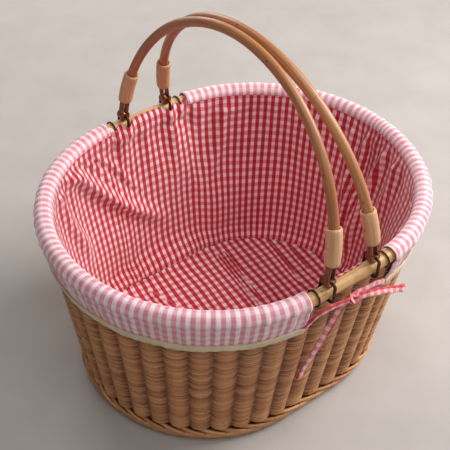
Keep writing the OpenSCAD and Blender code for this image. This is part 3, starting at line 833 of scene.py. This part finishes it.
def overhand(name, centre, facing, node):
    """The knot: the tie's own width wound once through itself, as a small fat trefoil."""
    t = np.linspace(0, 2 * math.pi, 73)[:-1]
    loop = knot_size * np.stack([np.sin(t) + 1.6 * np.sin(2 * t), np.cos(t) - 1.6 * np.cos(2 * t),
                                 -1.3 * np.sin(3 * t)], -1)
    depth = np.array(facing, float)
    wide = np.cross((0, 0, 1), depth)
    line = np.array(centre) + loop[:, :1] * wide + loop[:, 1:2] * (0, 0, 1) + loop[:, 2:] * depth
    wound = strand(line, knot_half, knot_thin, across=line - np.array(centre) + 1e-5, closed=True,
                   sides=12, square=tie_square)
    piece = bundle(name, [wound])
    grain = wound[3]
    weave = np.stack([grain[:, 1], grain[:, 0], 0 * grain[:, 0]], -1)
    piece.data.attributes.new("weave", "FLOAT_VECTOR", "POINT").data.foreach_set(
        "vector", weave.astype(np.float32).ravel())
    return fit(piece, "basket", "check_cloth", tie_cotton, node)


knot_out, knot_z = 0.1733, 0.187
tie_spacing = 0.0022
tail_twist = ((0, 0), (0.45, 10), (0.62, -30), (0.8, -45), (1, -20))
drop_twist = ((0, 20), (0.2, 0), (0.42, 15), (0.58, 45), (0.75, 10), (1, -20))
for long_side, turned in (("front", 1), ("back", -1)):
    outward = (0, -turned, 0)
    knot = overhand("tie_knot_" + long_side, (0, -knot_out * turned, knot_z), outward,
                    "knot_" + long_side)
    for kind, route, twist in (("tail", tail_route, tail_twist), ("drop", drop_route, drop_twist)):
        line, run = through([(x * turned, y * turned, z) for x, y, z in route], tie_spacing)
        name = kind + "_" + long_side
        ribbon = tie("tie_" + name, line, run, outward, twist, name)


# Handles. Two round canes are steamed into half-circle bows that lean together at the top. Each bow's
# feet sit in peeled-wood collars, pinned over flat cane straps, and a strap's brass-lined eye turns on
# the wire link.

hinge_x, hinge_z = 0.028, 0.219
bow_r = 0.164
bow_lean = math.asin(0.0228 / bow_r)
bow_run = math.pi * bow_r
cane_half, cane_start = 0.00495, 0.024
collar_half, collar_bore = 0.0077, 0.0056
collar_start, collar_end = 0.018, 0.054
collar_sides = 24
cane_finish = wood_finish("bent_cane", dye(108, 56, 32), dye(176, 116, 74), dye(214, 168, 118), 0.38,
                          fibre=520.0, bump=0.25, spread=0.2)
collar_finish = wood_finish("peel_collar", dye(150, 98, 62), dye(208, 160, 118), dye(232, 196, 154), 0.48,
                            fibre=700.0, bump=0.3, spread=0.2)
strap_finish, add, wire = finish("flat_cane_strap", 0.42)
where = add("TexCoord", {}, "Object")
lengthways = add("VectorMath", {0: where, 1: (900.0, 300.0, 90.0)}, operation="MULTIPLY")
fibres = add("TexNoise", {"Vector": lengthways, "Scale": 1.0, "Detail": 4.0})
wire(ramp(add, fibres, (0.3, dye(84, 36, 24)), (0.55, dye(132, 66, 42)), (0.75, dye(176, 106, 70))),
     "Base Color")
wire(add("MapRange", {0: fibres, 1: 0.3, 2: 0.7, 3: 0.5, 4: 0.32}), "Roughness")
wire(add("Bump", {"Height": fibres, "Strength": 0.3, "Distance": 0.0003}), "Normal")
brass, add, wire = finish("brass", 0.3, Metallic=1.0)
tarnish = add("TexNoise", {"Vector": add("TexCoord", {}, "Object"), "Scale": 380.0, "Detail": 4.0})
wire(ramp(add, tarnish, (0.35, dye(140, 96, 50)), (0.6, dye(208, 166, 104))), "Base Color")
wire(add("MapRange", {0: tarnish, 1: 0.3, 2: 0.7, 3: 0.45, 4: 0.22}), "Roughness")


def on_bow(run, side):
    """A point on a bow's middle line by its distance from the near hinge."""
    turn = run / bow_r
    rise = bow_r * np.sin(turn)
    return np.stack([side * (hinge_x - rise * math.sin(bow_lean)), -bow_r * np.cos(turn),
                     hinge_z + rise * math.cos(bow_lean)], -1)


for side, sign in (("left", -1), ("right", 1)):
    body = side + "_handle"
    flat_side = np.array([sign * math.cos(bow_lean), 0, math.sin(bow_lean)])
    cane_runs = np.linspace(cane_start, bow_run - cane_start, 150)
    girth = cane_half + 0.00006 * np.sin(cane_runs * 41) + 0.00005 * np.sin(cane_runs * 97 + sign)
    for joint in (0.155 + 0.02 * sign, 0.365 + 0.015 * sign):
        girth = girth + 0.00022 * np.exp(-((cane_runs - joint) / 0.0025) ** 2)
    cane = strand(on_bow(cane_runs, sign), girth, across=flat_side, sides=20, tone=0.5 + 0.1 * sign)
    fit(bundle("handle_cane_" + side, [cane]), body, "cane", cane_finish, "cane_" + side)
    for foot, near, far in (("front", collar_start, collar_end),
                            ("back", bow_run - collar_start, bow_run - collar_end)):
        outer_share, inner_share = np.linspace(0, 1, 19), np.linspace(1, 0, 9)
        middle = on_bow(near + (far - near) * outer_share, sign)
        bore = on_bow(near + (far - near) * inner_share, sign)
        shell = np.concatenate([middle, bore])
        outer = collar_half - 0.0009 * np.exp(-outer_share / 0.05) \
            - 0.0006 * np.exp(-(1 - outer_share) / 0.03) \
            - 0.0002 * np.exp(-((outer_share - 0.16) / 0.02) ** 2)
        girth = np.concatenate([outer, np.full(len(bore), collar_bore)])
        way = np.gradient(middle, axis=0)
        way /= np.linalg.norm(way, axis=1)[:, None]
        ways = np.concatenate([way, way[::-1][::2][:len(bore)]])
        deep = np.cross(ways, flat_side)
        turn = np.arange(collar_sides) * 2 * math.pi / collar_sides
        rings = shell[:, None] + girth[:, None, None] * (
            flat_side * np.cos(turn)[None, :, None] + deep[:, None] * np.sin(turn)[None, :, None])
        i = np.arange(len(shell))[:, None]
        j = np.arange(collar_sides)[None]
        i2, j2 = (i + 1) % len(shell), (j + 1) % collar_sides
        quads = np.stack([i * collar_sides + j, i * collar_sides + j2,
                          i2 * collar_sides + j2, i2 * collar_sides + j], -1).reshape(-1, 4)
        run = np.concatenate([outer_share, inner_share]) * abs(far - near)
        grain = np.stack([np.broadcast_to(run[:, None], rings.shape[:2]), girth[:, None] * np.cos(turn),
                          girth[:, None] * np.sin(turn)], -1)
        tone = 0.7 if foot == "front" else 0.3
        sleeve = (rings.reshape(-1, 3), quads, [], grain.reshape(-1, 3), tone)
        fit(bundle(f"collar_sleeve_{side}_{foot}", [sleeve]), body, "peel", collar_finish,
            f"collar_{side}_{foot}")
        dress(f"eye_{side}_{foot}", strap_finish)
        dress(f"bush_{side}_{foot}", brass)
    dress("pins_" + side, brass)
